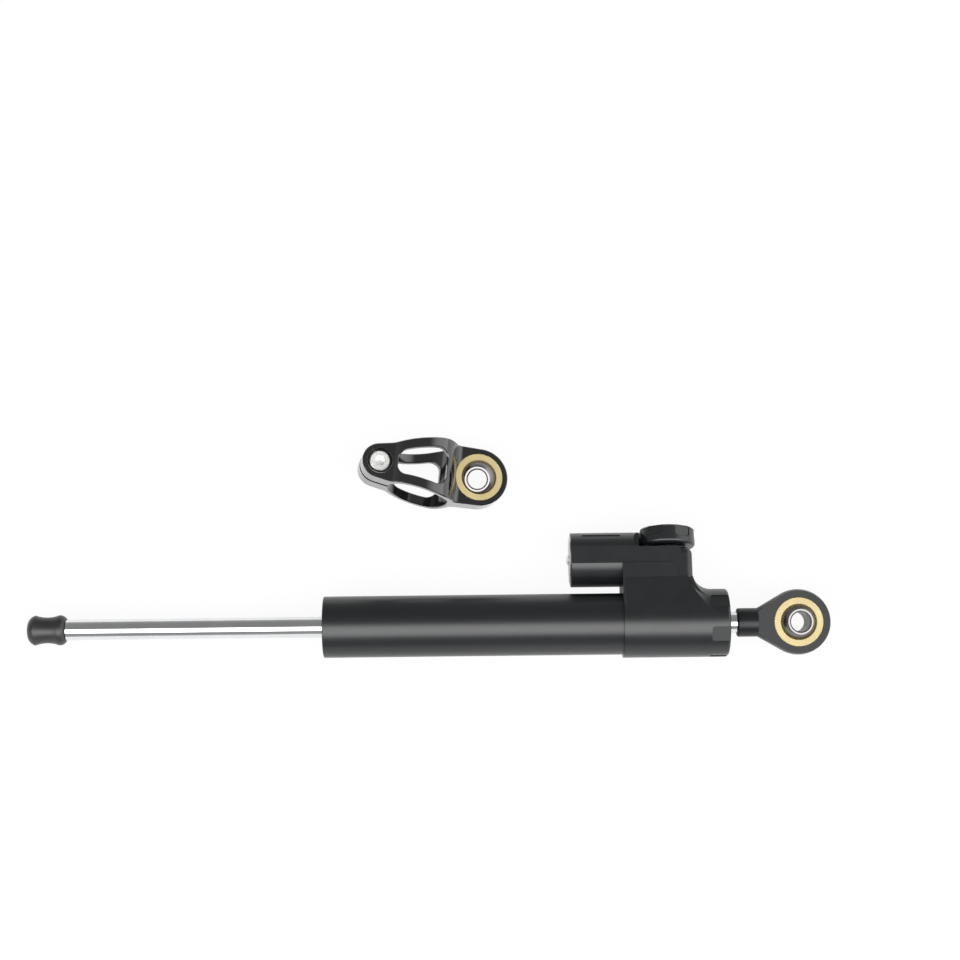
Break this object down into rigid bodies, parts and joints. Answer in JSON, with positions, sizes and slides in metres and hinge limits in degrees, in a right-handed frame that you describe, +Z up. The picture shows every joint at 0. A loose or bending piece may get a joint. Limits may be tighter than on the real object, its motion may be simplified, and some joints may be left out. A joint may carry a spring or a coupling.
{
  "type": "steering damper",
  "caption": "Adjustable linear steering damper with side reservoir, click knob, through rod, ball rod end, rubber end stop and a loose tube clamp.",
  "frame": {"origin": "centre of the ball in the rod end", "axes": "+X along the rod towards the rod end, +Y from the tube towards the reservoir and knob, +Z up off the bench it lies on"},
  "size_m": [0.3287, 0.091, 0.0306],
  "materials": {
    "black_anodised": "satin black anodised",
    "gloss_black": "polished, then black anodised",
    "bare_aluminium": "machined",
    "chromed_rod": "hard chromed and polished",
    "bearing_steel": "ground and polished",
    "steel": "machined",
    "spring_steel": "phosphated",
    "brass": "turned",
    "bronze": "sintered",
    "black_rubber": "moulded, satin",
    "seal_rubber": "moulded",
    "ptfe": "filled, matt"
  },
  "bodies": {
    "damper_body": {"outer_tube": "black_anodised", "inner_cylinder": "steel", "end_gland": "bare_aluminium", "end_gland_o_ring": "seal_rubber", "end_bush": "bronze", "end_rod_seal": "seal_rubber", "end_wiper": "seal_rubber", "end_clip": "spring_steel", "head_body": "black_anodised", "tube_o_ring": "seal_rubber", "head_bush": "bronze", "head_rod_seal": "seal_rubber", "head_wiper": "seal_rubber", "head_clip": "spring_steel", "reservoir_plug": "bare_aluminium", "plug_o_ring": "seal_rubber", "charge_screw": "steel", "valve_seat": "brass", "adjuster_housing": "black_anodised", "housing_o_ring": "seal_rubber", "spindle_o_ring": "seal_rubber", "clamp_collar": "gloss_black", "clamp_screw": "steel", "clamp_race": "brass"},
    "piston": {"piston": "bare_aluminium", "piston_ring": "ptfe"},
    "rod": {"piston_rod": "chromed_rod", "piston_clips": "spring_steel", "end_stop": "black_rubber", "rod_end": "black_anodised", "rod_end_race": "brass"},
    "rod_end_ball": {"rod_end_ball": "bearing_steel"},
    "floating_piston": {"floating_piston": "bare_aluminium", "floating_piston_o_ring": "seal_rubber"},
    "knob": {"adjuster_knob": "black_anodised", "knob_screw": "steel", "adjuster_spindle": "steel", "detent_ball": "bearing_steel", "detent_spring": "spring_steel"},
    "needle": {"needle_valve": "steel"},
    "clamp_ball": {"clamp_ball": "bearing_steel"}
  },
  "joints": [
    {"name": "rod_slide", "type": "slide", "parent": "damper_body", "child": "piston", "axis": [1, 0, 0], "range_m": [-0.0015, 0.1]},
    {"name": "rod_turn", "type": "hinge", "parent": "piston", "child": "rod", "pos_m": [0, 0, 0], "axis": [1, 0, 0], "continuous": true},
    {"name": "rod_end_ball_turn", "type": "hinge", "parent": "rod", "child": "rod_end_ball", "pos_m": [0, 0, 0], "axis": [0.0802, -0.1868, 0.9791], "continuous": true},
    {"name": "clamp_ball_turn", "type": "hinge", "parent": "damper_body", "child": "clamp_ball", "pos_m": [-0.13064, 0.06295, -0.00329], "axis": [-0.0058, -0.2578, 0.9662], "continuous": true},
    {"name": "knob_turn", "type": "hinge", "parent": "damper_body", "child": "knob", "pos_m": [-0.05255, 0.0355, 0], "axis": [0, 1, 0], "range_deg": [-165, 165]},
    {"name": "needle_travel", "type": "slide", "parent": "damper_body", "child": "needle", "axis": [0, 1, 0], "range_m": [-0.0005, 0.0005]},
    {"name": "floating_piston_travel", "type": "slide", "parent": "damper_body", "child": "floating_piston", "axis": [1, 0, 0], "range_m": [-0.004, 0.0035]}
  ],
  "couplings": [
    {"joint": "needle_travel", "follows": "knob_turn", "m_per_rad": 0.00015915}
  ]
}
